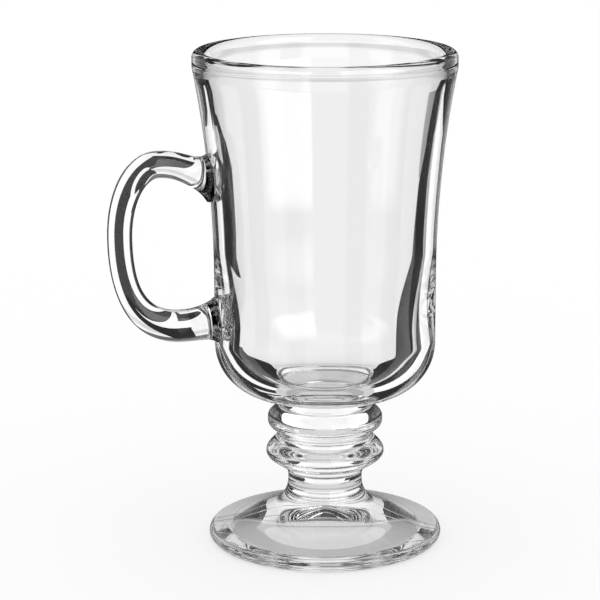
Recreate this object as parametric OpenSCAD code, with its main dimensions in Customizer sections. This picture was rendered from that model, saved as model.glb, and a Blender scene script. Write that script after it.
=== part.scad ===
// Footed glass mug for irish coffee: a flared bowl on a ringed stem and a round foot, with a drawn handle.
// Every piece is clear glass, and the pieces are fused together while hot.
// The mug's axis is Z, the table is at zero height, and the handle points to -X.

/* [Bowl] */
// Outer diameter of the lip
rim_d = 76.3; // [70:0.1:86]
// Outer diameter of the straight lower wall
body_d = 64.8; // [58:0.1:69]
// Height of the bowl from its underside to the top of the lip
bowl_h = 101.4; // [92:0.1:125]
// Height of the part of the wall that flares
flare_h = 61.3; // [35:0.1:72]
// Height of the upright band that makes the lip
lip_h = 4.7; // [3:0.1:8]
// Thickness of the lip
lip_t = 2.1; // [1.9:0.05:3]
// Radius that rounds the lip's outer edge
lip_round = 1.65; // [0.8:0.05:1.8]
// Depth of the crease inside the lip, where the wall starts to thicken
crease_drop = 2.3; // [1.2:0.1:4]
// Height of the cove under the crease, over which the wall thickens
cove_h = 6.7; // [3:0.1:10]
// Thickness of the wall
wall_t = 3.1; // [2.2:0.05:4]
// Thickness of the wall above the cavity's corner
low_wall_t = 4.8; // [3:0.05:6.5]
// Height of the stretch where the wall thickens downwards
thick_h = 28; // [12:0.5:32]
// Thickness of the glass under the cavity
base_t = 4.4; // [3:0.1:9]
// Outer radius between the wall and the underside
corner_r = 15.4; // [8:0.1:16]
// Radius between the cavity's wall and its floor
cavity_corner_r = 12; // [5:0.1:16]

/* [Stem] */
// Height of the stem between the foot and the bowl
stem_h = 34.6; // [31:0.1:50]
// Diameter of the stem's plain upper part, between the rings
waist_d = 27.1; // [24:0.1:29]
// Diameter of the narrow neck under the rings
neck_d = 21.8; // [18:0.1:24]
// Height of the neck above the table
neck_z = 20; // [17:0.1:21.5]
// How far the upper ring stands out
upper_ring_out = 3.4; // [1:0.05:4.2]
// Height of the upper ring's middle under the bowl
upper_ring_drop = 8; // [7:0.1:9]
// Half of the upper ring's thickness
upper_ring_half = 3.2; // [2:0.05:3.6]
// How far the lower ring stands out
lower_ring_out = 3.9; // [1:0.05:4.6]
// Distance between the middles of the two rings
ring_pitch = 10.1; // [8.5:0.1:11]
// Half of the lower ring's thickness
lower_ring_half = 3.9; // [2.4:0.05:4.2]
// Radius of the fillet under the bowl
shoulder_r = 1.6; // [0.6:0.05:2]

/* [Foot] */
// Diameter of the foot
foot_d = 69.2; // [60:0.1:80]
// Thickness of the foot's rounded edge
foot_edge_t = 3.7; // [2.4:0.05:4.4]
// Slope of the foot's top where it leaves the edge, in degrees
edge_slope = 13; // [8:0.5:22]
// Height of the foot, up to where the stem is fused to it
foot_h = 10; // [8.8:0.1:13]
// Diameter of the hollow in the underside
recess_d = 54; // [40:0.1:60]
// Slope of the hollow's sides, in degrees
recess_slope = 17.5; // [4:0.5:20]
// How far from the axis the slope gives way to the hollow's rounded top
recess_round = 2; // [1:0.1:12]

/* [Handle] */
// How far the grip stands out from the straight wall
handle_out = 31.1; // [26:0.1:38]
// Height of the upper weld over the bowl's underside
upper_weld_h = 66.3; // [58:0.1:71]
// Height of the lower weld over the bowl's underside
lower_weld_h = 23.2; // [18:0.1:30]
// Height of the outermost point of the grip over the bowl's underside
grip_h = 48.8; // [44:0.1:52]
// How far the handle's crown stands out from the straight wall
crown_out = 16.1; // [12:0.1:20]
// Rise of the crown over the upper weld
crown_rise = 3.5; // [1:0.1:6]
// How far the handle's heel stands out from the straight wall
heel_out = 10.4; // [8:0.1:16]
// Drop of the heel under the lower weld
heel_drop = 1.1; // [0:0.1:4]
// Thickness of the handle at the grip, towards the bowl
grip_t = 7.1; // [5.5:0.1:9]
// Width of the handle at the grip, across
grip_w = 9.2; // [7:0.1:12]
// Thickness of the handle at its upper arm
crown_t = 7.6; // [6:0.1:10]
// Thickness of the handle at its lower arm
heel_t = 9.2; // [7:0.1:11]
// Height of the upper weld pad
upper_pad_h = 16; // [13:0.1:19]
// Height of the lower weld pad
lower_pad_h = 13.4; // [11:0.1:16]
// Width of both weld pads, across
pad_w = 12.6; // [11:0.1:16]
// Length over which the arms swell into the weld pads
pad_swell = 2.2; // [1.2:0.1:4]

/* [Hidden] */
clear_glass = [0.86, 0.92, 0.94, 0.45];

// Steps along the curves of the outlines, and round the revolved pieces
CORNER_STEPS = 14;
FLARE_STEPS = 22;
INSIDE_STEPS = 56;
LIP_STEPS = 7;
STEM_STEPS = 84;
RECESS_STEPS = 14;
TRUMPET_STEPS = 16;
ROUND_STEPS = 144;

// Exponents that shape the rings and the handle's section
upper_ring_share = 3.3;
lower_ring_share = 2.35;
section_share = 2.3;
// Where the Bezier handles of the grip's two bends lie, as shares of the bends
crown_bend_share = 0.57;
heel_bend_share = 0.66;
// The same for the arms that run to the welds
arm_bend_share = 0.45;
// The share of the lower bend over which the grip stays slender
grip_hold_share = 0.25;
ARM_STEPS = 12;
BEND_STEPS = 12;
SECTION_STEPS = 24;
// How deep the handle's ends start inside the wall, before the bowl's outside cuts them
weld_sink = 2.2;

body_r = body_d / 2;
rim_r = rim_d / 2;
bowl_z = foot_h + stem_h;
rim_z = bowl_z + bowl_h;
lip_z = rim_z - lip_h;
flare_z = lip_z - flare_h;
crease_z = rim_z - crease_drop;
cove_z = crease_z - cove_h;
floor_z = bowl_z + base_t;
cavity_corner_z = floor_z + cavity_corner_r;

function blend(u) = let (c = max(0, min(1, u))) c * c * (3 - 2 * c);

// Points on an arc, from one angle to another
function arc_points(cx, cy, r, from, to, steps) =
  [for (i = [0:steps]) let (a = from + (to - from) * i / steps) [cx + r * cos(a), cy + r * sin(a)]];

// The flare is one circular arc, tangent to the straight wall and passing through the lip's edge.
// It is set by its curvature, which is zero for a straight wall and negative for one that narrows.
flare_rise = rim_r - body_r;
flare_curvature = 2 * flare_rise / (flare_h * flare_h + flare_rise * flare_rise);
function outer_r(z) =
  let (up = max(0, min(z, lip_z) - flare_z))
  body_r + flare_curvature * up * up / (1 + sqrt(1 - pow(flare_curvature * up, 2)));

// The wall thickens towards the cavity's corner and thins to the lip in a cove
function wall_at(z) =
  wall_t + (low_wall_t - wall_t) * blend((cavity_corner_z + thick_h - z) / thick_h)
  - (wall_t - lip_t) * pow(max(0, z - cove_z) / cove_h, 2);
function inner_r(z) = outer_r(z) - wall_at(z);

// Outside of the bowl, from its underside up to the lip
function bowl_outside() = concat(
  arc_points(body_r - corner_r, bowl_z + corner_r, corner_r, -90, 0, CORNER_STEPS),
  [for (i = [0:FLARE_STEPS]) let (z = flare_z + flare_h * i / FLARE_STEPS) [outer_r(z), z]],
  arc_points(rim_r - lip_round, rim_z - lip_round, lip_round, 0, 90, LIP_STEPS)
);

// Inside of the bowl, from the lip down to the cavity's floor
lip_inner_round = lip_t - lip_round;
cavity_wall_h = crease_z - cavity_corner_z;
function bowl_inside() = concat(
  arc_points(rim_r - lip_round, rim_z - lip_inner_round, lip_inner_round, 90, 180, LIP_STEPS),
  [for (i = [0:INSIDE_STEPS]) let (z = crease_z - cavity_wall_h * i / INSIDE_STEPS) [inner_r(z), z]],
  arc_points(inner_r(cavity_corner_z) - cavity_corner_r, cavity_corner_z, cavity_corner_r,
    -90 / CORNER_STEPS, -90, CORNER_STEPS - 1)
);

module bowl() {
  color(clear_glass)
  rotate_extrude($fn = ROUND_STEPS)
  polygon(concat([[0, bowl_z]], bowl_outside(), bowl_inside(), [[0, floor_z]]));
}

// The foot's top and the stem's base are one trumpet: it leaves the rounded edge at the edge's own slope,
// which sets the exponent, and narrows in one sweep to the neck
foot_r = foot_d / 2;
edge_r = foot_edge_t / 2;
neck_r = neck_d / 2;
trumpet_r = foot_r - edge_r * (1 - sin(edge_slope));
trumpet_z = edge_r * (1 + cos(edge_slope));
trumpet_share = (neck_z - trumpet_z) / ((trumpet_r - neck_r) * tan(edge_slope));
function trumpet_at(z) =
  neck_r + (trumpet_r - neck_r) * pow((neck_z - z) / (neck_z - trumpet_z), trumpet_share);

// The stem's radius: the neck opens upwards to the waist and downwards into the trumpet,
// with two rings added as rounded bumps and a fillet under the bowl
upper_ring_z = bowl_z - upper_ring_drop;
lower_ring_z = upper_ring_z - ring_pitch;
function ring_bump(z, middle, half, out, share) = out * exp(-pow(abs(z - middle) / half, share));
function core_r(z) =
  z < neck_z ? trumpet_at(z)
             : neck_r + (waist_d / 2 - neck_r) * blend((z - neck_z) / (lower_ring_z - neck_z));
function shoulder_out(z) =
  let (up = max(0, z - bowl_z + shoulder_r))
  shoulder_r - sqrt(shoulder_r * shoulder_r - up * up);
function stem_r(z) =
  core_r(z) + shoulder_out(z)
  + ring_bump(z, upper_ring_z, upper_ring_half, upper_ring_out, upper_ring_share)
  + ring_bump(z, lower_ring_z, lower_ring_half, lower_ring_out, lower_ring_share);

module stem() {
  color(clear_glass)
  rotate_extrude($fn = ROUND_STEPS)
  polygon(concat(
    [[0, foot_h]],
    [for (i = [0:STEM_STEPS]) let (z = foot_h + stem_h * i / STEM_STEPS) [stem_r(z), z]],
    [[0, bowl_z]]
  ));
}

// The hollow is a cone with a rounded top, a hyperbola in section
recess_r = recess_d / 2;
function recess_at(r) =
  tan(recess_slope) * (norm([recess_r, recess_round]) - norm([r, recess_round]));

// The foot: the hollow, a flat ring to stand on, a rounded edge and the trumpet's lower part.
// The trumpet's points lie closer together where it is flatter.
module foot() {
  color(clear_glass)
  rotate_extrude($fn = ROUND_STEPS)
  polygon(concat(
    [for (i = [0:RECESS_STEPS]) let (r = recess_r * i / RECESS_STEPS) [r, recess_at(r)]],
    arc_points(foot_r - edge_r, edge_r, edge_r, -90, 90 - edge_slope, CORNER_STEPS),
    [for (i = [1:TRUMPET_STEPS]) let (u = i / TRUMPET_STEPS, z = trumpet_z + (foot_h - trumpet_z) * u * u)
      [stem_r(z), z]],
    [[0, foot_h]]
  ));
}

// The handle's centre line, in distance from the axis and height: an arm from the upper weld to the crown,
// two bends round the grip, and an arm from the heel to the lower weld
upper_weld_z = bowl_z + upper_weld_h;
lower_weld_z = bowl_z + lower_weld_h;
upper_weld = [outer_r(upper_weld_z) - weld_sink, upper_weld_z];
lower_weld = [outer_r(lower_weld_z) - weld_sink, lower_weld_z];
crown = [body_r + crown_out, upper_weld_z + crown_rise];
grip = [body_r + handle_out - grip_t / 2, bowl_z + grip_h];
heel = [body_r + heel_out, lower_weld_z - heel_drop];
function bezier(a, b, c, d, t) =
  pow(1 - t, 3) * a + 3 * t * pow(1 - t, 2) * b + 3 * t * t * (1 - t) * c + t * t * t * d;
function bezier_points(a, b, c, d, steps) = [for (i = [0:steps - 1]) bezier(a, b, c, d, i / steps)];
upper_arm = crown - upper_weld;
lower_arm = heel - lower_weld;
upper_bend = grip - crown;
lower_bend = heel - grip;
handle_path = concat(
  bezier_points(upper_weld, upper_weld + [arm_bend_share * upper_arm[0], 0],
    crown - [arm_bend_share * upper_arm[0], 0], crown, ARM_STEPS),
  bezier_points(crown, crown + [crown_bend_share * upper_bend[0], 0],
    grip - [0, crown_bend_share * upper_bend[1]], grip, BEND_STEPS),
  bezier_points(grip, grip + [0, heel_bend_share * lower_bend[1]],
    heel - [heel_bend_share * lower_bend[0], 0], heel, BEND_STEPS),
  bezier_points(heel, heel - [arm_bend_share * lower_arm[0], 0],
    lower_weld + [arm_bend_share * lower_arm[0], 0], lower_weld, ARM_STEPS),
  [lower_weld]
);
LAST = len(handle_path) - 1;

// Half thickness and half width of the handle's section at a ring, swelling into the weld pads
function swell(ring, weld_z) = exp(-max(0, handle_path[ring][0] - outer_r(weld_z)) / pad_swell);
function upper_swell(ring) = ring < LAST / 2 ? swell(ring, upper_weld_z) : 0;
function lower_swell(ring) = ring > LAST / 2 ? swell(ring, lower_weld_z) : 0;
function bare_t(ring) =
  let (bends = (ring - ARM_STEPS) / BEND_STEPS)
  bends < 1 ? crown_t + (grip_t - crown_t) * blend(bends)
            : grip_t + (heel_t - grip_t) * blend((bends - 1 - grip_hold_share) / (1 - grip_hold_share));
function half_t(ring) =
  bare_t(ring) / 2
  + (upper_pad_h - crown_t) / 2 * upper_swell(ring)
  + (lower_pad_h - heel_t) / 2 * lower_swell(ring);
function half_w(ring) = grip_w / 2 + (pad_w - grip_w) / 2 * (upper_swell(ring) + lower_swell(ring));

// A ring of the swept section: a superellipse square to the centre line
function path_way(ring) =
  let (v = handle_path[min(LAST, ring + 1)] - handle_path[max(0, ring - 1)]) v / norm(v);
function power_of(x, share) = sign(x) * pow(abs(x), 2 / share);
function section_ring(ring) =
  let (p = handle_path[ring], way = path_way(ring), t = half_t(ring), w = half_w(ring))
  [for (k = [0:SECTION_STEPS - 1])
    let (a = 360 * k / SECTION_STEPS,
      up = t * power_of(cos(a), section_share),
      across = w * power_of(sin(a), section_share))
    [-(p[0] - up * way[1]), across, p[1] + up * way[0]]];

module handle_sweep() {
  points = [for (ring = [0:LAST]) each section_ring(ring)];
  n = SECTION_STEPS;
  sides = [for (ring = [0:LAST - 1], k = [0:n - 1])
    let (a = ring * n + k, b = ring * n + (k + 1) % n, c = a + n, d = b + n)
    each [[a, b, d], [a, d, c]]];
  upper_end = [for (k = [0:n - 1]) n - 1 - k];
  lower_end = [for (k = [0:n - 1]) LAST * n + k];
  polyhedron(points = points, faces = concat([upper_end], sides, [lower_end]), convexity = 6);
}

// The bowl's outside filled solid, which gives the weld faces their shape
module bowl_filled() {
  rotate_extrude($fn = ROUND_STEPS)
  polygon(concat([[0, bowl_z]], bowl_outside(), [[0, rim_z]]));
}

module handle() {
  color(clear_glass)
  difference() {
    handle_sweep();
    bowl_filled();
  }
}

bowl();
stem();
foot();
handle();
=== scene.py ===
# %% [markdown]
# # A footed glass mug
# This lesson builds a footed glass mug for hot coffee: a flared bowl on a ringed stem and a round
# foot, with a drawn handle at its side. The real mug is four gathers of glass that are fused while
# hot, so it is four pieces here. A imported CAD model gives the frame, and each piece is made finer
# and clearer around it. The heights of the bowl and the foot, and the widths of the lip and the
# foot, are taken from the CAD model's boxes.

# %% The frame
import math
import bpy
import numpy as np
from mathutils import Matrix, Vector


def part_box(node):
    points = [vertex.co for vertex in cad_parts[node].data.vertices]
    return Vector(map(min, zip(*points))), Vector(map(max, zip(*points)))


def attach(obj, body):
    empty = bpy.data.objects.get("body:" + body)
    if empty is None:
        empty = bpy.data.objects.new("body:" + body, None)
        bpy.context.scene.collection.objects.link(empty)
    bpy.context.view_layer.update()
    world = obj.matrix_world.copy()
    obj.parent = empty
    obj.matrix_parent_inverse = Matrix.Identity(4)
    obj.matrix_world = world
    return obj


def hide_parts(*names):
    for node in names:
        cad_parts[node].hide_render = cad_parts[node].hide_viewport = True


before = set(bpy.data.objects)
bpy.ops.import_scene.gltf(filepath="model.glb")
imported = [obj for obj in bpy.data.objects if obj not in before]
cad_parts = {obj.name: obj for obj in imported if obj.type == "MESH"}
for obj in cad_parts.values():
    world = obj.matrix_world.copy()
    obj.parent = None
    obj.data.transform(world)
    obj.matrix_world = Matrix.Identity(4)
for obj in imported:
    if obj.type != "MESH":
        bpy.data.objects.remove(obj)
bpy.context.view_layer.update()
print("CAD nodes:", sorted(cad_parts))

# %% [markdown]
# Glass is unforgiving: a curve that is a little coarse shows as a kink in everything seen through
# it. So each shape is worked out by formula as whole numpy arrays, with many more steps than the
# CAD solid has, and then put into a mesh. All sizes here are millimetres. The mesh helper turns
# them into Blender's metres.

# %% Sizes that the frame gives
MM = 0.001


def node_box(node):
    """Lowest and highest corner of a CAD node, in millimetres."""
    return [np.array(corner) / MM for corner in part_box(node)]


bowl_box, stem_box, foot_box, handle_box = (node_box(n) for n in ("bowl", "stem", "foot", "handle"))
rim_r = bowl_box[1][1]
bowl_z = bowl_box[0][2]
rim_z = bowl_box[1][2]
foot_r = foot_box[1][1]
foot_z = foot_box[1][2]
print(f"lip {2 * rim_r:.1f} mm across at {rim_z:.1f} mm, foot {2 * foot_r:.1f} mm across")

# %% [markdown]
# All revolved pieces have the same number of columns, so their fused faces meet point for point. A
# square window of the bowl's grid has as many points round its border as the handle's section has,
# and that is what lets the bowl and the handle share the edge of a weld.

# %% Steps of the meshes
# Columns round the axis, points round the handle's section, and cells along each side of a window
COLUMNS = 288
SECTION = 96
WINDOW = SECTION // 4

# %% [markdown]
# A few helpers give the points of curves. Rows of points lie closer together where an outline meets
# another piece, since a coarse row shows most there.

# %% Helpers for curves


def ease(u):
    """A smooth step: 3u squared less 2u cubed, held at 0 and 1 outside."""
    u = np.clip(u, 0, 1)
    return u * u * (3 - 2 * u)


def arc(centre, radius, start, end, steps):
    """Points on an arc: the centre plus the radius times the cosine and the sine of each angle."""
    angle = np.radians(np.linspace(start, end, steps + 1))
    return np.array(centre) + radius * np.column_stack([np.cos(angle), np.sin(angle)])


def line(a, b, steps):
    """Points spaced evenly from a to b."""
    return np.linspace(a, b, steps + 1)


def crowd(a, b, steps):
    """Values from a to b, closer at both ends: (1 - cos(pi u)) / 2 of the way for even u."""
    return a + (b - a) * (1 - np.cos(np.pi * np.linspace(0, 1, steps + 1))) / 2


# %% [markdown]
# Each of the four pieces is a stack of rings that is closed by a pole at both ends. A revolved
# piece has round rings, and the handle has oval ones. One helper makes the faces of such a stack,
# and a second one fills a mesh. Where two gathers of glass are fused there is no surface at all in
# the real mug: light goes straight on. The meshes are closed, so the two faces that meet there get
# a second material slot, with a shader that lets light pass unbent.

# %% Faces and meshes


def stack_faces(rings, around):
    """Quads between rings i and i + 1: (i, k), (i, k + 1), (i + 1, k + 1) and (i + 1, k)."""
    i, k = np.meshgrid(np.arange(rings - 1), np.arange(around), indexing="ij")
    after = (k + 1) % around
    near, far = i * around, (i + 1) * around
    return np.stack([near + k, near + after, far + after, far + k], axis=-1)


def fan(ring, pole, opens_up):
    """Triangles from a ring of vertex numbers to a pole, wound for a stack's start or its end."""
    after = np.roll(ring, -1)
    poles = np.full(len(ring), pole)
    return np.column_stack([poles, after, ring] if opens_up else [ring, after, poles])


def make_piece(name, points, groups, materials, node):
    """A mesh object from points in millimetres and groups of faces, each with its material slot."""
    mesh = bpy.data.meshes.new(name)
    sizes = np.concatenate([np.full(len(faces), faces.shape[1]) for faces, slot in groups])
    slots = np.concatenate([np.full(len(faces), slot) for faces, slot in groups])
    corners = np.concatenate([faces.ravel() for faces, slot in groups])
    mesh.vertices.add(len(points))
    mesh.vertices.foreach_set("co", (points * MM).ravel())
    mesh.loops.add(len(corners))
    mesh.loops.foreach_set("vertex_index", corners.astype(np.int32))
    mesh.polygons.add(len(sizes))
    starts = np.concatenate([[0], np.cumsum(sizes)[:-1]])
    mesh.polygons.foreach_set("loop_start", starts.astype(np.int32))
    for material in materials:
        mesh.materials.append(material)
    mesh.polygons.foreach_set("material_index", slots.astype(np.int32))
    mesh.polygons.foreach_set("use_smooth", slots == 0)
    mesh.update(calc_edges=True)
    mesh.validate()
    piece = bpy.data.objects.new(name, mesh)
    bpy.context.scene.collection.objects.link(piece)
    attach(piece, "root")
    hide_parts(node)
    print(f"{name}: {len(points)} vertices, {len(sizes)} faces")
    return piece


def revolve(profile):
    """Rings round the axis: radius times the cosine and sine of each column's angle, and height."""
    angle = np.linspace(0, 2 * np.pi, COLUMNS, endpoint=False)
    r, z = profile[:, :1], profile[:, 1:]
    height = np.broadcast_to(z, (len(profile), COLUMNS))
    return np.stack([r * np.cos(angle), r * np.sin(angle), height], axis=-1)


def poles_at(low, high):
    """The two end points of a stack on the axis."""
    return np.array([[0, 0, low], [0, 0, high]])


# %% [markdown]
# ## The glass
# Soda-lime glass bends light with an index of about 1.5. Pressed and fire-polished glass isn't
# optically flat: it has long shallow waves, and finer ones where it was drawn. The waves are one
# node group that gives out a normal, and each piece uses it with its own depth. A second group adds
# the line where the mould's two halves met. It is a faint ridge on the stem and the foot, in one
# upright plane through the axis.

# %% Waves in the glass


def normal_group(name, inputs):
    """A node group that gives out a normal, with these input sockets, and its two end nodes."""
    group = bpy.data.node_groups.new(name, "ShaderNodeTree")
    for title, kind in inputs.items():
        group.interface.new_socket(title, in_out="INPUT", socket_type="NodeSocket" + kind)
    group.interface.new_socket("Normal", in_out="OUTPUT", socket_type="NodeSocketVector")
    return group, group.nodes.new("NodeGroupInput"), group.nodes.new("NodeGroupOutput")


def wave_group():
    """Noise with one finer octave as a height, as a bumped normal."""
    inputs = {"Vector": "Vector", "Scale": "Float", "Depth": "Float"}
    group, start, end = normal_group("glass waves", inputs)
    nodes, links = group.nodes, group.links
    noise = nodes.new("ShaderNodeTexNoise")
    noise.inputs["Detail"].default_value = 1.0
    bump = nodes.new("ShaderNodeBump")
    bump.inputs["Strength"].default_value = 1.0
    links.new(start.outputs["Vector"], noise.inputs["Vector"])
    links.new(start.outputs["Scale"], noise.inputs["Scale"])
    links.new(noise.outputs["Fac"], bump.inputs["Height"])
    links.new(start.outputs["Depth"], bump.inputs["Distance"])
    links.new(bump.outputs["Normal"], end.inputs["Normal"])
    return group


GLASS_WAVES = wave_group()

# %% The mould's seam
# Its plane in degrees from +X as seen from above, and half its width in metres
SEAM_TURN = -17.4
SEAM_HALF_WIDTH = 0.0003


def ridge_group():
    """A ridge on another normal: 1 in the seam's plane, and 0 from its half width on."""
    inputs = {"Vector": "Vector", "Height": "Float", "Normal": "Vector"}
    group, start, end = normal_group("mould seam", inputs)
    nodes, links = group.nodes, group.links
    across = nodes.new("ShaderNodeVectorMath")
    across.operation = "DOT_PRODUCT"
    turn = math.radians(SEAM_TURN + 90)
    across.inputs[1].default_value = (math.cos(turn), math.sin(turn), 0)
    away = nodes.new("ShaderNodeMath")
    away.operation = "ABSOLUTE"
    rise = nodes.new("ShaderNodeMapRange")
    rise.interpolation_type = "SMOOTHSTEP"
    levels = {"From Min": 0, "From Max": SEAM_HALF_WIDTH, "To Min": 1, "To Max": 0}
    for title, value in levels.items():
        rise.inputs[title].default_value = value
    bump = nodes.new("ShaderNodeBump")
    links.new(start.outputs["Vector"], across.inputs[0])
    links.new(across.outputs["Value"], away.inputs[0])
    links.new(away.outputs[0], rise.inputs["Value"])
    links.new(rise.outputs["Result"], bump.inputs["Height"])
    links.new(start.outputs["Height"], bump.inputs["Distance"])
    links.new(start.outputs["Normal"], bump.inputs["Normal"])
    links.new(bump.outputs["Normal"], end.inputs["Normal"])
    return group


MOULD_SEAM = ridge_group()

# %% The glass and the fused faces
CLEAR = (0.985, 0.985, 0.99)


def glass(name, scale, depth, seam_height=0):
    """Clear glass with waves of a scale per metre and a depth, and a seam of a height."""
    material = bpy.data.materials.new(name)
    material.use_nodes = True
    nodes, links = material.node_tree.nodes, material.node_tree.links
    shader = nodes["Principled BSDF"]
    shader.inputs["Base Color"].default_value = (*CLEAR, 1)
    shader.inputs["Roughness"].default_value = 0.0
    shader.inputs["IOR"].default_value = 1.5
    shader.inputs["Transmission Weight"].default_value = 1.0
    where = nodes.new("ShaderNodeTexCoord")
    waves = nodes.new("ShaderNodeGroup")
    waves.node_tree = GLASS_WAVES
    waves.inputs["Scale"].default_value = scale
    waves.inputs["Depth"].default_value = depth
    links.new(where.outputs["Object"], waves.inputs["Vector"])
    normal = waves.outputs["Normal"]
    if seam_height:
        ridge = nodes.new("ShaderNodeGroup")
        ridge.node_tree = MOULD_SEAM
        ridge.inputs["Height"].default_value = seam_height
        links.new(where.outputs["Object"], ridge.inputs["Vector"])
        links.new(normal, ridge.inputs["Normal"])
        normal = ridge.outputs["Normal"]
    links.new(normal, shader.inputs["Normal"])
    return material


def fused_seam():
    """The faces inside the glass where two gathers are fused: light goes straight through."""
    material = bpy.data.materials.new("fused seam")
    material.use_nodes = True
    nodes, links = material.node_tree.nodes, material.node_tree.links
    nodes.remove(nodes["Principled BSDF"])
    clear = nodes.new("ShaderNodeBsdfTransparent")
    links.new(clear.outputs["BSDF"], nodes["Material Output"].inputs["Surface"])
    return material


SEAM = fused_seam()

# %% [markdown]
# ## The stem
# The stem is solid. Its outline is a core plus two rings. The core opens upwards to the waist and
# downwards, as a trumpet, into the foot's top, which leaves the rounded edge at the edge's own
# slope. A ring is a bump whose height falls off as e to minus a power of the distance from its
# middle: a power over two gives it a broad crest and steep flanks.

# %% The stem's outline
STEM_ROWS = 300
waist_r, neck_r, neck_z = 27.1 / 2, 21.8 / 2, 20
ring_drop, ring_pitch = 8, 10.1
upper_ring_z = bowl_z - ring_drop
lower_ring_z = upper_ring_z - ring_pitch
# Half thickness, height over the core and power of each ring
UPPER_RING = (3.2, 3.4, 3.3)
LOWER_RING = (3.9, 3.9, 2.35)
shoulder_r = 1.6
edge_r = 3.7 / 2
edge_slope = math.radians(13)
trumpet_r = foot_r - edge_r * (1 - math.sin(edge_slope))
trumpet_z = edge_r * (1 + math.cos(edge_slope))
trumpet_share = (neck_z - trumpet_z) / ((trumpet_r - neck_r) * math.tan(edge_slope))


def ring_bump(z, middle, half, out, share):
    """How far a ring stands out: height times e to minus (distance over half) to a power."""
    return out * np.exp(-np.abs((z - middle) / half) ** share)


def stem_radius(z):
    """A smooth step above the neck or a power of the way down below it, fillet and rings."""
    opening = neck_r + (waist_r - neck_r) * ease((z - neck_z) / (lower_ring_z - neck_z))
    down = np.clip((neck_z - z) / (neck_z - trumpet_z), 0, 1)
    trumpet = neck_r + (trumpet_r - neck_r) * down**trumpet_share
    up = np.clip(z - bowl_z + shoulder_r, 0, shoulder_r)
    shoulder = shoulder_r - np.sqrt(shoulder_r**2 - up**2)
    rings = ring_bump(z, upper_ring_z, *UPPER_RING) + ring_bump(z, lower_ring_z, *LOWER_RING)
    return np.where(z > neck_z, opening, trumpet) + shoulder + rings


def make_stem():
    """Rings up the outline, closed by a flat fused face at each end."""
    z = crowd(foot_z, bowl_z, STEM_ROWS)
    side = np.column_stack([stem_radius(z), z])
    rings = revolve(side)
    count = len(side)
    points = np.concatenate([rings.reshape(-1, 3), poles_at(foot_z, bowl_z)])
    quads = stack_faces(count, COLUMNS).reshape(-1, 4)
    first, last = np.arange(COLUMNS), np.arange(COLUMNS) + (count - 1) * COLUMNS
    low_pole = count * COLUMNS
    groups = [(quads, 0), (fan(first, low_pole, True), 1), (fan(last, low_pole + 1, False), 1)]
    material = glass("stem glass", scale=60, depth=0.00002, seam_height=0.0001)
    return make_piece("stem_solid", points, groups, [material, SEAM], "stem")


stem = make_stem()
joint_r = float(stem_radius(np.array([bowl_z]))[0])
foot_joint_r = float(stem_radius(np.array([foot_z]))[0])

# %% [markdown]
# ## The foot
# A pressed foot: a conical hollow underneath with a rounded top, a flat ring to stand on, a rounded
# edge and the trumpet's lower part. The hollow follows the trumpet above it, so the glowing mats
# under the table show plainly through the foot's rim. Those mats paint the table's shade and a
# caustic. The stem's base is a prism that gathers the room into nested arcs.

# %% The foot
HOLLOW_ROWS, STANDING_ROWS, FOOT_EDGE_ROWS, TRUMPET_ROWS = 70, 5, 40, 110
recess_r, recess_round = 54 / 2, 2
recess_slope = math.radians(17.5)


def recess(r):
    """The hollow's height: a hyperbola, level on the axis, that runs out to the cone's slope."""
    return math.tan(recess_slope) * (math.hypot(recess_r, recess_round) - np.hypot(r, recess_round))


def foot_outline():
    """Hollow, flat ring, edge arc and trumpet, whose rows are closer together near both ends."""
    r = np.linspace(0, recess_r, HOLLOW_ROWS)[1:]
    hollow = np.column_stack([r, recess(r)])
    ring = line((recess_r, 0), (foot_r - edge_r, 0), STANDING_ROWS)[1:-1]
    top = 90 - math.degrees(edge_slope)
    edge = arc((foot_r - edge_r, edge_r), edge_r, -90, top, FOOT_EDGE_ROWS)
    z = crowd(trumpet_z, foot_z, TRUMPET_ROWS)[1:]
    return np.concatenate([hollow, ring, edge, np.column_stack([stem_radius(z), z])])


def make_foot():
    """Rings along the outline, from the middle of the hollow to the stem's fused face."""
    side = foot_outline()
    count = len(side)
    points = np.concatenate([revolve(side).reshape(-1, 3), poles_at(recess(0), foot_z)])
    quads = stack_faces(count, COLUMNS).reshape(-1, 4)
    first, last = np.arange(COLUMNS), np.arange(COLUMNS) + (count - 1) * COLUMNS
    low_pole = count * COLUMNS
    groups = [(quads, 0), (fan(first, low_pole, True), 0), (fan(last, low_pole + 1, False), 1)]
    material = glass("foot glass", scale=60, depth=0.00002, seam_height=0.0002)
    return make_piece("foot_disc", points, groups, [material, SEAM], "foot")


foot = make_foot()

# %% [markdown]
# ## The bowl's walls
# Outside: a quarter circle, a straight wall and one arc that flares. Inside: the same less a wall
# that thickens towards the cavity's corner. Both are plain functions of height, which the handle's
# welds use as well.

# %% The bowl's walls
body_r = 64.8 / 2
wall_t, low_wall_t, thick_h = 3.1, 4.8, 28
corner_r = 15.4
lip_h, flare_h = 4.7, 61.3
lip_z = rim_z - lip_h
flare_z = lip_z - flare_h
floor_t = 4.4
floor_z = bowl_z + floor_t
cavity_corner_r = 12
cavity_corner_z = floor_z + cavity_corner_r
flare_rise = rim_r - body_r
curvature = 2 * flare_rise / ((lip_z - flare_z) ** 2 + flare_rise**2)


def outer_wall(z):
    """The straight wall's radius, less the corner's circle below it, plus the flare's above it."""
    down = np.clip(bowl_z + corner_r - z, 0, corner_r)
    up = np.clip(z, flare_z, lip_z) - flare_z
    flare = curvature * up**2 / (1 + np.sqrt(1 - (curvature * up) ** 2))
    return body_r - (corner_r - np.sqrt(corner_r**2 - down**2)) + flare


def inner_wall(z):
    """The outer wall less a thickness that grows downwards by a smooth step."""
    down = (cavity_corner_z + thick_h - z) / thick_h
    return outer_wall(z) - wall_t - (low_wall_t - wall_t) * ease(down)


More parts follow.
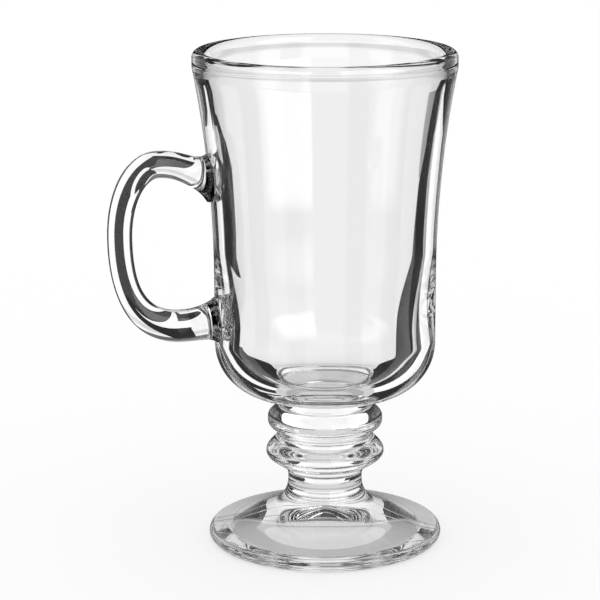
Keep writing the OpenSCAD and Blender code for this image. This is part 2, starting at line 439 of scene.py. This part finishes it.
# %% [markdown]
# ## The handle
# A strap of glass is drawn out, bent and pressed onto the wall at both ends. Its centre line is
# four Bezier curves in the plane of the handle, and its section is a superellipse, a shape between
# an ellipse and a box, that swells into the weld pads. Each line of the section is followed until
# it meets the wall, so the weld's edge lies on the glass.

# %% The handle's centre line
upper_weld_z = bowl_z + 66.3
lower_weld_z = bowl_z + 23.2
# The centre line ends this deep within the wall, so that the section's lines all cross the outside
weld_sink = 2.2
upper_weld = np.array([outer_wall(upper_weld_z) - weld_sink, upper_weld_z])
lower_weld = np.array([outer_wall(lower_weld_z) - weld_sink, lower_weld_z])
# Thickness and width at the grip, and how far out and how high the handle's turning points are
grip_t, grip_w = 7.1, 9.2
crown_out, crown_up = 16.1, 3.5
grip_out, grip_up = 31.1, 48.8
heel_out, heel_down = 10.4, 1.1
crown = np.array([body_r + crown_out, upper_weld_z + crown_up])
grip = np.array([body_r + grip_out - grip_t / 2, bowl_z + grip_up])
heel = np.array([body_r + heel_out, lower_weld_z - heel_down])
# How far each curve's inner points lie along the way between its ends
arm_pull, crown_pull, heel_pull = 0.45, 0.57, 0.66
along_x, along_z = np.array([1, 0]), np.array([0, 1])
upper_arm, lower_arm = crown - upper_weld, heel - lower_weld
upper_bend, lower_bend = grip - crown, heel - grip
BEZIERS = np.array([
    [upper_weld, upper_weld + arm_pull * upper_arm * along_x,
     crown - arm_pull * upper_arm * along_x, crown],
    [crown, crown + crown_pull * upper_bend * along_x,
     grip - crown_pull * upper_bend * along_z, grip],
    [grip, grip + heel_pull * lower_bend * along_z,
     heel - heel_pull * lower_bend * along_x, heel],
    [heel, heel - arm_pull * lower_arm * along_x,
     lower_weld + arm_pull * lower_arm * along_x, lower_weld],
])


def centre_line(s):
    """Point and unit direction of the Bezier curve number floor(s), at the rest of s."""
    piece = np.clip(s.astype(int), 0, 3)
    t = (s - piece)[..., None]
    a, b, c, d = (BEZIERS[piece, n] for n in range(4))
    point = (1 - t) ** 3 * a + 3 * t * (1 - t) ** 2 * b + 3 * t**2 * (1 - t) * c + t**3 * d
    way = (1 - t) ** 2 * (b - a) + 2 * t * (1 - t) * (c - b) + t**2 * (d - c)
    return point, way / np.linalg.norm(way, axis=-1, keepdims=True)


# %% [markdown]
# The strap is thin at the grip and fuller at the crown and the heel. Near each end it swells into a
# pad, by e to minus the distance from the wall. Each of the section's lines is then halved again
# and again between a point inside the wall and one outside, until it ends on the wall itself.

# %% The handle's surface
STRAP_ROWS = 260
HALVINGS = 40
SECTION_POWER = 2.3
section_angle = np.linspace(0, 2 * np.pi, SECTION, endpoint=False)
crown_t, heel_t = 7.6, 9.2
upper_pad_h, lower_pad_h, pad_w = 16, 13.4, 12.6
pad_fade = 2.2
# The s of the grip, where the upper half of the handle ends, and of the place where the heel begins
GRIP_S, HEEL_S = 2, 2.25


def powered(x):
    """Sign of x times its size to the power two over the superellipse's exponent."""
    return np.sign(x) * np.abs(x) ** (2 / SECTION_POWER)


def handle_points(s):
    """Points for s of shape (n, SECTION): the centre line plus half the thickness and width."""
    point, way = centre_line(s)
    upper_way = np.maximum(0, point[..., 0] - outer_wall(upper_weld_z))
    lower_way = np.maximum(0, point[..., 0] - outer_wall(lower_weld_z))
    upper = np.exp(-upper_way / pad_fade) * (s < GRIP_S)
    lower = np.exp(-lower_way / pad_fade) * (s > GRIP_S)
    upper_bare = crown_t + (grip_t - crown_t) * ease(s - 1)
    lower_bare = grip_t + (heel_t - grip_t) * ease((s - HEEL_S) / (3 - HEEL_S))
    bare = np.where(s < GRIP_S, upper_bare, lower_bare)
    half_t = bare / 2 + (upper_pad_h - crown_t) / 2 * upper + (lower_pad_h - heel_t) / 2 * lower
    half_w = grip_w / 2 + (pad_w - grip_w) / 2 * (upper + lower)
    up = half_t * powered(np.cos(section_angle))
    across = half_w * powered(np.sin(section_angle))
    out, height = point[..., 0] - up * way[..., 1], point[..., 1] + up * way[..., 0]
    return np.stack([-out, across, height], axis=-1)


def meets_wall(inside, outside):
    """Halves the stretch between two values of s until each line's point lies on the bowl."""
    low, high = np.full(SECTION, float(inside)), np.full(SECTION, float(outside))
    for _ in range(HALVINGS):
        middle = (low + high) / 2
        p = handle_points(middle[None])[0]
        within = np.hypot(p[:, 0], p[:, 1]) < outer_wall(p[:, 2])
        low, high = np.where(within, middle, low), np.where(within, high, middle)
    return (low + high) / 2


weld_start, weld_end = meets_wall(0, 0.9), meets_wall(4, 3.1)
upper_edge = handle_points(weld_start[None])[0]
lower_edge = handle_points(weld_end[None])[0]
for title, edge in (("upper", upper_edge), ("lower", lower_edge)):
    print(f"{title} weld {np.ptp(edge[:, 2]):.1f} mm high and {np.ptp(edge[:, 1]):.1f} mm wide")

# %% [markdown]
# A weld face lies on the bowl's outside, so it is drawn in two numbers: the angle from the handle's
# plane and the height. Rings that shrink towards its middle keep it on the curved wall.

# %% The weld faces
SHRINK = (0.8, 0.55, 0.3)


def on_wall(turn, z):
    """Points on the bowl's outside at angles from the handle's plane and heights."""
    r = outer_wall(z)
    return np.stack([r * np.cos(np.pi + turn), r * np.sin(np.pi + turn), z], axis=-1)


def wall_place(points):
    """The angle from the handle's plane and the height of points on the bowl's outside."""
    return np.arctan2(-points[:, 1], -points[:, 0]), points[:, 2]


def weld_rings(edge, centre_z):
    """Rings on the wall that shrink from the weld's edge to its middle, and the middle itself."""
    turn, z = wall_place(edge)
    rings = np.stack([on_wall(turn * f, centre_z + (z - centre_z) * f) for f in SHRINK])
    return rings, on_wall(np.zeros(1), np.array([float(centre_z)]))


def make_handle():
    """Weld face, the drawn strap ring by ring, and weld face."""
    upper_rings, upper_middle = weld_rings(upper_edge, upper_weld_z)
    lower_rings, lower_middle = weld_rings(lower_edge, lower_weld_z)
    v = np.linspace(0, 1, STRAP_ROWS)[:, None]
    share = 0.45 * v + 0.55 * (1 - np.cos(np.pi * v)) / 2
    strap = handle_points(weld_start + (weld_end - weld_start) * share)
    strap[0], strap[-1] = upper_edge, lower_edge
    rings = np.concatenate([upper_rings[::-1], strap, lower_rings])
    count = len(rings)
    points = np.concatenate([rings.reshape(-1, 3), upper_middle, lower_middle])
    quads = stack_faces(count, SECTION)
    skin = quads[len(SHRINK):-len(SHRINK)].reshape(-1, 4)
    welds = np.concatenate([quads[:len(SHRINK)], quads[-len(SHRINK):]]).reshape(-1, 4)
    first, last = np.arange(SECTION), np.arange(SECTION) + (count - 1) * SECTION
    pole = count * SECTION
    groups = [(skin, 0), (welds, 1), (fan(first, pole, True), 1), (fan(last, pole + 1, False), 1)]
    material = glass("handle glass", scale=120, depth=0.00003)
    return make_piece("handle_strap", points, groups, [material, SEAM], "handle")


handle = make_handle()

# %% [markdown]
# ## The bowl
# The bowl is one revolved outline from the middle of its underside, up the outside, over the lip
# and down into the cavity. The lip is a round bead that is broader than the wall on the inside.
# Below it the inner wall comes back to its own line: the slack is the bead's own, times the cube of
# the share of the way up. At each weld a window of the grid is taken out and filled again with
# rings that run from the window's square edge to the weld's own edge, so that the glass of the bowl
# and of the handle share that edge point for point.

# %% The bowl's outline
CORNER_ROWS, BETWEEN_ROWS, FLARE_ROWS, LIP_SIDE_ROWS, LIP_ROWS = 44, 26, 24, 5, 24
BEAD_ROWS, SLACK_ROWS, CAVITY_ROWS, FLOOR_ROWS = 28, 13, 82, 3
# The bead's arc on the inside goes this many degrees on below its middle
bead_r, bead_turn = 2.05, 22
bead_foot_z = lip_z - 5.3
# Lowest and highest row of the windows round the two welds
lower_window = (lower_weld_z - 10.3, lower_weld_z + 10.3)
upper_window = (upper_weld_z - 10.4, upper_weld_z + 10.6)


def wall_rows(low, high, steps):
    """Outer wall points at even heights, without the last one."""
    z = np.linspace(low, high, steps + 1)[:-1]
    return np.column_stack([outer_wall(z), z])


def below_bead(top):
    """Inner wall points: the wall less the bead's depth times the cube of the way up to it."""
    slack_z = np.linspace(top[1], bead_foot_z, SLACK_ROWS)[1:-1]
    wall_z = np.linspace(bead_foot_z, cavity_corner_z, CAVITY_ROWS)[:-1]
    z = np.concatenate([slack_z, wall_z])
    share = np.clip((z - bead_foot_z) / (top[1] - bead_foot_z), 0, 1)
    bead_depth = inner_wall(top[1]) - top[0]
    return np.column_stack([inner_wall(z) - bead_depth * share**3, z])


def bowl_outline():
    """All the outline's parts in order, and the rows at which the two windows start."""
    corner_middle = (body_r - corner_r, bowl_z + corner_r)
    turn = -math.degrees(math.asin((corner_middle[1] - lower_window[0]) / corner_r))
    under_r = np.array([joint_r / 2, joint_r, (joint_r + corner_middle[0]) / 2])
    under = np.column_stack([under_r, np.full(3, bowl_z)])
    corner = arc(corner_middle, corner_r, -90, turn, CORNER_ROWS)[:-1]
    lower, upper = wall_rows(*lower_window, WINDOW), wall_rows(*upper_window, WINDOW)
    between = wall_rows(lower_window[1], upper_window[0], BETWEEN_ROWS)
    flare = wall_rows(upper_window[1], lip_z, FLARE_ROWS)
    middle = (rim_r - bead_r, rim_z - bead_r)
    lip_side = line((rim_r, lip_z), (rim_r, middle[1]), LIP_SIDE_ROWS)[:-1]
    lip_out = arc(middle, bead_r, 0, 90, LIP_ROWS)[:-1]
    lip_in = arc(middle, bead_r, 90, 180 + bead_turn, BEAD_ROWS)
    inside = below_bead(lip_in[-1])
    centre = (inner_wall(cavity_corner_z) - cavity_corner_r, cavity_corner_z)
    bottom = arc(centre, cavity_corner_r, 0, -90, CORNER_ROWS)
    floor = line((centre[0], floor_z), (centre[0] / 4, floor_z), FLOOR_ROWS)[1:]
    below = np.concatenate([under, corner])
    rows = len(below), len(below) + len(lower) + len(between)
    return np.concatenate([below, lower, between, upper, flare, lip_side, lip_out, lip_in,
                           inside, bottom, floor]), rows


outline, window_rows = bowl_outline()
print(f"the bowl's outline has {len(outline)} points, and windows from rows {window_rows}")

# %% [markdown]
# A window's border has as many points as a weld's edge. Nine rings between the two, drawn by angle
# and height on the wall, turn the square into the weld's round outline.

# %% The windows round the welds
TRANSITION = 9


def window_edge(row):
    """Vertex numbers round a window, anticlockwise from its top's middle, seen from outside."""
    half = WINDOW // 2
    left = COLUMNS // 2 - half
    along = np.arange(WINDOW)
    top = np.column_stack([np.full(WINDOW, row + WINDOW), left + WINDOW - along])
    side = np.column_stack([row + WINDOW - along, np.full(WINDOW, left)])
    bottom = np.column_stack([np.full(WINDOW, row), left + along])
    back = np.column_stack([row + along, np.full(WINDOW, left + WINDOW)])
    places = np.roll(np.concatenate([top, side, bottom, back]), -half, axis=0)
    return places[:, 0] * COLUMNS + places[:, 1]


def window_patch(points, border, edge, centre_z, first):
    """New points and faces between a window's border and a weld's edge, and across the weld."""
    turn_a, z_a = wall_place(points[border])
    turn_b, z_b = wall_place(edge)
    f = np.linspace(0, 1, TRANSITION + 1)[1:, None]
    between = on_wall(turn_a + (turn_b - turn_a) * f, z_a + (z_b - z_a) * f)
    between[-1] = edge
    inner, middle = weld_rings(edge, centre_z)
    rings = np.concatenate([between, inner])
    added = rings.size // 3
    new_numbers = first + np.arange(added).reshape(len(rings), SECTION)
    numbers = np.concatenate([border[None], new_numbers])
    faces = numbers.ravel()[stack_faces(len(numbers), SECTION)]
    middle_number = first + added
    new_points = np.concatenate([rings.reshape(-1, 3), middle])
    glass_faces = faces[:TRANSITION].reshape(-1, 4)
    weld_faces = faces[TRANSITION:].reshape(-1, 4)
    weld_middle = fan(numbers[-1], middle_number, False)
    return new_points, [(glass_faces, 0), (weld_faces, 1), (weld_middle, 1)]


def make_bowl():
    """The revolved outline with its two windows filled, and the fused face under it."""
    count = len(outline)
    points = np.concatenate([revolve(outline).reshape(-1, 3), poles_at(bowl_z, floor_z)])
    quads = stack_faces(count, COLUMNS)
    keep = np.ones(quads.shape[:2], bool)
    left = COLUMNS // 2 - WINDOW // 2
    for row in window_rows:
        keep[row:row + WINDOW, left:left + WINDOW] = False
    fused = np.zeros(quads.shape[:2], bool)
    fused[0] = True
    first, last = np.arange(COLUMNS), np.arange(COLUMNS) + (count - 1) * COLUMNS
    pole = count * COLUMNS
    groups = [(quads[keep & ~fused], 0), (quads[keep & fused], 1)]
    groups += [(fan(first, pole, True), 1), (fan(last, pole + 1, False), 0)]
    lower_border = np.roll(window_edge(window_rows[0]), -SECTION // 2)
    lower_turned = np.roll(lower_edge[::-1], 1, axis=0)
    upper_border = window_edge(window_rows[1])
    welds = [(lower_border, lower_turned, lower_weld_z), (upper_border, upper_edge, upper_weld_z)]
    for border, edge, z in welds:
        more, patches = window_patch(points, border, edge, z, len(points))
        points = np.concatenate([points, more])
        groups += patches
    material = glass("bowl glass", scale=45, depth=0.00002)
    return make_piece("bowl_shell", points, groups, [material, SEAM], "bowl")


bowl = make_bowl()

# %% [markdown]
# ## The camera
# The mug stands a little right of the middle of a square frame. The camera stands 234 mm over the
# table and 659 mm from the mug's axis, and looks down by 13.8 degrees. The handle is turned towards
# it by 11.5 degrees.

# %% The camera
IMAGE_PIXELS = 600
FOCAL_PIXELS = 2314
AXIS_COLUMN = 325
SENSOR_WIDTH = 36
camera_turn, camera_pitch = math.radians(11.5), math.radians(13.79)
camera_distance, camera_height = 0.659, 0.234


def make_camera():
    """Looks along the turned Y axis and down, with the frame shifted off the mug's middle."""
    data = bpy.data.cameras.new("camera")
    data.sensor_width = SENSOR_WIDTH
    data.lens = FOCAL_PIXELS / IMAGE_PIXELS * data.sensor_width
    data.shift_x = (IMAGE_PIXELS / 2 - AXIS_COLUMN) / IMAGE_PIXELS
    camera = bpy.data.objects.new("camera", data)
    x, y = -camera_distance * math.sin(camera_turn), -camera_distance * math.cos(camera_turn)
    camera.location = (x, y, camera_height)
    camera.rotation_euler = (math.pi / 2 - camera_pitch, 0, -camera_turn)
    bpy.context.scene.collection.objects.link(camera)
    bpy.context.scene.camera = camera
    return camera


camera = make_camera()
print(f"camera: {camera.data.lens:.1f} mm lens on a {SENSOR_WIDTH} mm sensor")

# %% [markdown]
# ## The studio
# Clear glass has no colour of its own: it is drawn by what it bends into view. Photographers put
# white behind it and stand black cards close to it at both sides, and the walls and the handle pick
# the cards up as dark lines. Here the surround is the world itself, by direction, and only rays
# that the glass mirrors or bends see it. The camera and the diffuse light see plain white. Three
# kinds of rays come out of the glass, and each reads its own table of brightness by direction. Rays
# that only bend look almost straight through, at white with dark far to both sides. Rays that were
# also mirrored within the glass look further round, at white windows that stand every 45 degrees.
# Rays that a face mirrors from outside see a softbox, which makes the bright spots. The Light Path
# node tells them apart: a ray that was mirrored, and that bent exactly twice, went in, was mirrored
# there and came out. Light can run round in the foot's edge and in the ends of the lip many times
# before it gets out, so up to 32 bounces are traced. With a handful of them those edges turn black.
# Two liberties are taken. In a real studio one surround serves all rays, while here each kind of
# ray has its own, so the glass also shows dark sides that the camera's white background doesn't
# have. And the tables and cards were set by comparing the picture from this one side. That has left
# a fault: rays that only bend find white in front of the camera alone, so from both sides and from
# behind the bowl looks dark grey instead of clear, and from above the cards show as dark shapes. A
# surround for a glass that is seen from all sides needs white all round in each table, with the
# dark kept to narrow stretches between.

# %% The tables of brightness
LEVELS = 3.0
BLACK, WHITE, SOFTBOX = 0.03, 1.0, 2.6
# Brightness by degrees from straight behind the mug, clockwise as seen from above, and by degrees
# over the horizon, for rays that only bend
STRAIGHT = [(-36, BLACK), (-33, 1.1), (-20, 1.1), (-12, WHITE), (12, WHITE), (20, 1.2), (33, 1.2),
            (36, BLACK)]
HIGH_RISE = [(-1, 1), (1, 0.75), (8, 0.75), (10, 1), (15, 1), (18, 0.15), (33, 0.15), (38, 1)]
# The windows, for rays that were also mirrored within the glass
WINDOWS = [(-180, WHITE), (-158, WHITE), (-156, BLACK), (-137, BLACK), (-135, WHITE),
           (-113, WHITE), (-111, BLACK), (-92, BLACK), (-90, WHITE), (-68, WHITE), (-66, BLACK),
           (-46, BLACK), (-44, 1.2), (-20, 1.1), (-12, WHITE), (12, WHITE), (20, 1.2), (44, 1.25),
           (46, BLACK), (66, BLACK), (68, WHITE), (90, WHITE), (92, BLACK), (111, BLACK),
           (113, WHITE), (135, WHITE), (137, BLACK), (156, BLACK), (158, WHITE)]
# What is left of the windows near the middle and beside it, by both angles
MIDDLE = [(-16, 0), (-12, 1), (12, 1), (16, 0)]
MIDDLE_RISE = [(-50, 0.25), (-34, 0.45), (-20, 1)]
BESIDE = [(-95, 0), (-90, 1), (-20, 1), (-14, 0), (14, 0), (20, 1), (90, 1), (95, 0)]
BESIDE_RISE = [(-11, 1), (-8, 0.1)]
# The softbox, for rays that a face has mirrored from outside
MIRRORED = [(-128, BLACK), (-122, 1.2), (-95, 1.2), (-85, BLACK), (104, BLACK), (120, SOFTBOX),
            (165, SOFTBOX), (166.5, BLACK)]
# How much of each shows by degrees over the horizon, and the brightness below and above the windows
WINDOW_RISE = [(-62, 0), (-58, 1), (33, 1), (38, 0)]
MIRRORED_RISE = [(-9, 0), (-5, 1), (58, 1), (62, 0)]
BELOW, ABOVE = 0.8, 0.55

# %% Nodes that calculate


class Sums:
    """Adds nodes that calculate to one node tree, with sockets or numbers as their inputs."""

    def __init__(self, tree):
        self.nodes, self.links = tree.nodes, tree.links

    def feed(self, socket, value):
        """Sets an input to a number, or links it to another node's output."""
        if isinstance(value, (int, float)):
            socket.default_value = value
        else:
            self.links.new(value, socket)

    def calc(self, operation, *values):
        """The result of one operation on the values."""
        node = self.nodes.new("ShaderNodeMath")
        node.operation = operation
        for number, value in enumerate(values):
            self.feed(node.inputs[number], value)
        return node.outputs[0]

    def mix(self, share, a, b):
        """The value a where share is 0, and b where it is 1."""
        node = self.nodes.new("ShaderNodeMix")
        node.data_type = "FLOAT"
        for title, value in (("Factor", share), ("A", a), ("B", b)):
            self.feed(node.inputs[title], value)
        return node.outputs["Result"]

    def ramp(self, degrees, low, high, table):
        """Brightness by an angle from low to high, even from row to row of the table."""
        share = self.calc("DIVIDE", self.calc("SUBTRACT", degrees, low), high - low)
        ramp = self.nodes.new("ShaderNodeValToRGB")
        self.links.new(share, ramp.inputs[0])
        elements = ramp.color_ramp.elements
        while len(elements) < len(table):
            elements.new(0.5)
        for element, (angle, level) in zip(elements, table):
            element.position = (angle - low) / (high - low)
            element.color = (level / LEVELS,) * 3 + (1,)
        return self.calc("MULTIPLY", ramp.outputs[0], LEVELS)


# %% The surround


def make_world():
    """White for the camera and for diffuse light, and the tables for all that the glass shows."""
    world = bpy.data.worlds.new("studio")
    bpy.context.scene.world = world
    world.use_nodes = True
    nodes, links = world.node_tree.nodes, world.node_tree.links
    sums = Sums(world.node_tree)
    where = nodes.new("ShaderNodeTexCoord")
    parts = nodes.new("ShaderNodeSeparateXYZ")
    links.new(where.outputs["Generated"], parts.inputs[0])
    x, y, z = parts.outputs
    behind = sums.calc("SUBTRACT", sums.calc("ARCTAN2", x, y), camera_turn)
    turn = sums.calc("DEGREES", sums.calc("WRAP", behind, math.pi, -math.pi))
    rise = sums.calc("DEGREES", sums.calc("ARCSINE", z))

    def by_turn(table):
        return sums.ramp(turn, -180, 180, table)

    def by_rise(table):
        return sums.ramp(rise, -90, 90, table)

    beyond = sums.mix(sums.calc("GREATER_THAN", rise, 0.0), BELOW, ABOVE)
    window_rise = by_rise(WINDOW_RISE)
    straight = sums.mix(window_rise, beyond, by_turn(STRAIGHT))
    bent = sums.calc("MULTIPLY", straight, by_rise(HIGH_RISE))
    trapped = sums.mix(window_rise, beyond, by_turn(WINDOWS))
    for part, part_rise in ((MIDDLE, MIDDLE_RISE), (BESIDE, BESIDE_RISE)):
        left = sums.mix(by_turn(part), 1.0, by_rise(part_rise))
        trapped = sums.calc("MULTIPLY", trapped, left)
    mirrored = sums.mix(by_rise(MIRRORED_RISE), BLACK, by_turn(MIRRORED))

    path = nodes.new("ShaderNodeLightPath")
    by_glass = sums.calc("MAXIMUM", path.outputs["Is Glossy Ray"],
                         path.outputs["Is Transmission Ray"])
    off_two = sums.calc("ABSOLUTE", sums.calc("SUBTRACT", path.outputs["Transmission Depth"], 2))
    any_mirror = sums.calc("GREATER_THAN", path.outputs["Glossy Depth"], 0.5)
    from_outside = sums.calc("MULTIPLY", sums.calc("GREATER_THAN", off_two, 0.5), any_mirror)
    from_within = sums.calc("SUBTRACT", any_mirror, from_outside)
    level = sums.mix(from_outside, sums.mix(from_within, bent, trapped), mirrored)
    links.new(sums.mix(by_glass, 1.0, level), nodes["Background"].inputs["Color"])


bpy.context.scene.view_settings.view_transform = "Standard"
cycles = bpy.context.scene.cycles
cycles.max_bounces = cycles.glossy_bounces = cycles.transmission_bounces = 32
make_world()
print(f"the surround: {len(WINDOWS)} rows of windows, {cycles.max_bounces} bounces")

# %% [markdown]
# The table is white and keeps the mug's shadow. The glass doesn't see it. It sees round glowing
# mats just under the table's top, which paint light and shade: the painted shade of the table under
# the foot, a darker painted shadow ring that gives the foot its grey zone, and a painted caustic
# that gives its light middle. Upright cards stand behind the mug, where only the glass sees them. A
# direction alone says where a ray from far away ends. A card that is near adds the place, so that
# each card can darken one stretch of the wall and leave the one above it clear.

# %% Sheets of the studio


def emission(name, strength):
    """A plain light-giving material that isn't sampled as a lamp."""
    material = bpy.data.materials.new(name)
    material.use_nodes = True
    nodes, links = material.node_tree.nodes, material.node_tree.links
    nodes.remove(nodes["Principled BSDF"])
    light = nodes.new("ShaderNodeEmission")
    light.inputs["Strength"].default_value = strength
    links.new(light.outputs["Emission"], nodes["Material Output"].inputs["Surface"])
    material.cycles.emission_sampling = "NONE"
    return material


def flat_stage(name, points, material):
    """One flat face that isn't part of the mug."""
    mesh = bpy.data.meshes.new(name)
    mesh.from_pydata(points, [], [tuple(range(len(points)))])
    mesh.materials.append(material)
    sheet = bpy.data.objects.new(name, mesh)
    bpy.context.scene.collection.objects.link(sheet)
    return sheet


def only_for_glass(sheet):
    """Shown by rays that the glass has mirrored or bent, and by no others."""
    sheet.visible_camera = False
    sheet.visible_diffuse = False
    sheet.visible_shadow = False


# %% The table
TABLE_HALF = 6.0
PAINT, GLOW = 0.4, 0.6


def white_table():
    """Part white paint and part glow, so that the table is white and still keeps a shadow."""
    material = bpy.data.materials.new("white table")
    material.use_nodes = True
    shader = material.node_tree.nodes["Principled BSDF"]
    shader.inputs["Base Color"].default_value = (PAINT, PAINT, PAINT, 1)
    shader.inputs["Roughness"].default_value = 1.0
    shader.inputs["Specular IOR Level"].default_value = 0.0
    shader.inputs["Emission Color"].default_value = (1, 1, 1, 1)
    shader.inputs["Emission Strength"].default_value = GLOW
    material.cycles.emission_sampling = "NONE"
    return material


table_signs = ((-1, -1), (1, -1), (1, 1), (-1, 1))
table_corners = [(TABLE_HALF * x, TABLE_HALF * y, 0) for x, y in table_signs]
table = flat_stage("table", table_corners, white_table())
table.visible_glossy = False
table.visible_transmission = False

# %% Glowing mats under the foot, with painted shade, a painted shadow ring and a painted caustic
# Radius, shift towards the camera, depth under the table's top and brightness of each painted mat
# The widest disc paints the table's shade under the foot, the next one a darker painted shadow
# ring, and the smallest one, a little lighter, a painted caustic where the stem gathers light
PAINTED_SHADE_MATS = {"painted table shade disc": (0.036, 0, 0.0003, 0.8), "painted shadow ring disc": (0.0265, 0.004, 0.0002, 0.54),
        "painted caustic disc": (0.0175, 0.003, 0.0001, 0.74)}
mat_angle = np.linspace(0, 2 * np.pi, 65)[:-1]
mat_circle = np.column_stack([np.cos(mat_angle), np.sin(mat_angle)])
towards = -np.array([math.sin(camera_turn), math.cos(camera_turn)])
for name, (radius, shift, depth, level) in PAINTED_SHADE_MATS.items():
    points = np.column_stack([radius * mat_circle + shift * towards, 0 * mat_angle - depth])
    only_for_glass(flat_stage(name, points.tolist(), emission(name, level)))

# %% The cards behind the mug
# Height, left edge and right edge at each corner, in metres to the right of the mug's axis
CARDS = {
    "low thin card": [(-0.12, -0.049, -0.042), (0.025, -0.049, -0.043)],
    "high thin card": [(0.05, -0.0475, -0.043), (0.055, -0.0575, -0.0435),
                       (0.096, -0.0575, -0.044), (0.103, -0.059, -0.048), (0.11, -0.066, -0.058)],
    "left card": [(-0.12, -0.082, -0.057), (0.095, -0.082, -0.057)],
    "top left card": [(0.1025, -0.0955, -0.0795), (0.106, -0.099, -0.0625),
                      (0.114, -0.103, -0.0615), (0.117, -0.125, -0.061), (0.135, -0.125, -0.06)],
    "outer left card": [(0.0915, -0.13, -0.1125), (0.117, -0.13, -0.1125)],
    "right card": [(-0.12, 0.028, 0.062), (0.02, 0.035, 0.064), (0.09, 0.046, 0.066),
                   (0.102, 0.052, 0.072), (0.104, 0.052, 0.105), (0.116, 0.0555, 0.115),
                   (0.135, 0.06, 0.12)],
}
GREY_CARDS = {
    "grey card": [(0.092, 0.0455, 0.05), (0.1, 0.0455, 0.06), (0.112, 0.0465, 0.06),
                  (0.12, 0.0475, 0.06)],
}
STEM_CARDS = {
    "left stem card": [(0.0005, -0.046, -0.0155), (0.022, -0.046, -0.0155),
                       (0.028, -0.046, -0.022), (0.034, -0.046, -0.03), (0.04, -0.046, -0.042)],
    "right stem card": [(0.0005, 0.0155, 0.046), (0.022, 0.0155, 0.046), (0.028, 0.022, 0.046),
                        (0.034, 0.03, 0.046), (0.04, 0.042, 0.046)],
}
CARD_BEHIND, GREY_CARD_BEHIND, STEM_CARD_BEHIND = 0.080, 0.081, 0.050
GREY = 0.5


def stand_card(name, corners, behind, material):
    """An upright card behind the mug, square to the camera from above, as one face."""
    ahead = np.array([math.sin(camera_turn), math.cos(camera_turn), 0])
    aside = np.array([math.cos(camera_turn), -math.sin(camera_turn), 0])
    edge = [(left, z) for z, left, right in corners]
    edge += [(right, z) for z, left, right in reversed(corners)]
    points = [tuple(behind * ahead + x * aside + np.array([0, 0, z])) for x, z in edge]
    only_for_glass(flat_stage(name, points, material))


black_card, grey_card = emission("black card", BLACK), emission("grey card", GREY)
for cards, behind, material in ((CARDS, CARD_BEHIND, black_card),
                                (GREY_CARDS, GREY_CARD_BEHIND, grey_card),
                                (STEM_CARDS, STEM_CARD_BEHIND, black_card)):
    for name, corners in cards.items():
        stand_card(name, corners, behind, material)
print(f"{len(PAINTED_SHADE_MATS)} mats and {len(CARDS) + len(GREY_CARDS) + len(STEM_CARDS)} cards")
